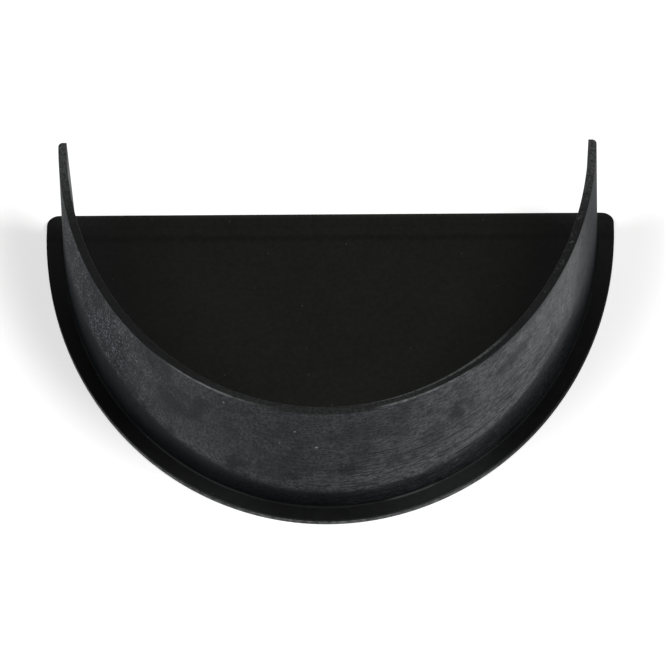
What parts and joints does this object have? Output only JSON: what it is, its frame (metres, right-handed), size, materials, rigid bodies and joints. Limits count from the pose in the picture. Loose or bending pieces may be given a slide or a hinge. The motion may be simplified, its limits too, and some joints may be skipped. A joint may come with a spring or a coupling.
{
  "type": "gutter end cap",
  "caption": "Moulded end cap for a deep half-round gutter: a flat plate with a curved outline and a thin drafted wall set in from its edge, which plugs the gutter's end.",
  "frame": {"origin": "middle of the plate's outer face, which the cap lies on", "axes": "+X across the gutter, +Y towards the gutter's open top, +Z along the gutter, out of the plate's inner face"},
  "size_m": [0.115, 0.075, 0.0312],
  "materials": {
    "black_plastic": "satin black with a fine moulded grain"
  },
  "bodies": {
    "root": {"end_cap": "black_plastic"}
  },
  "joints": []
}
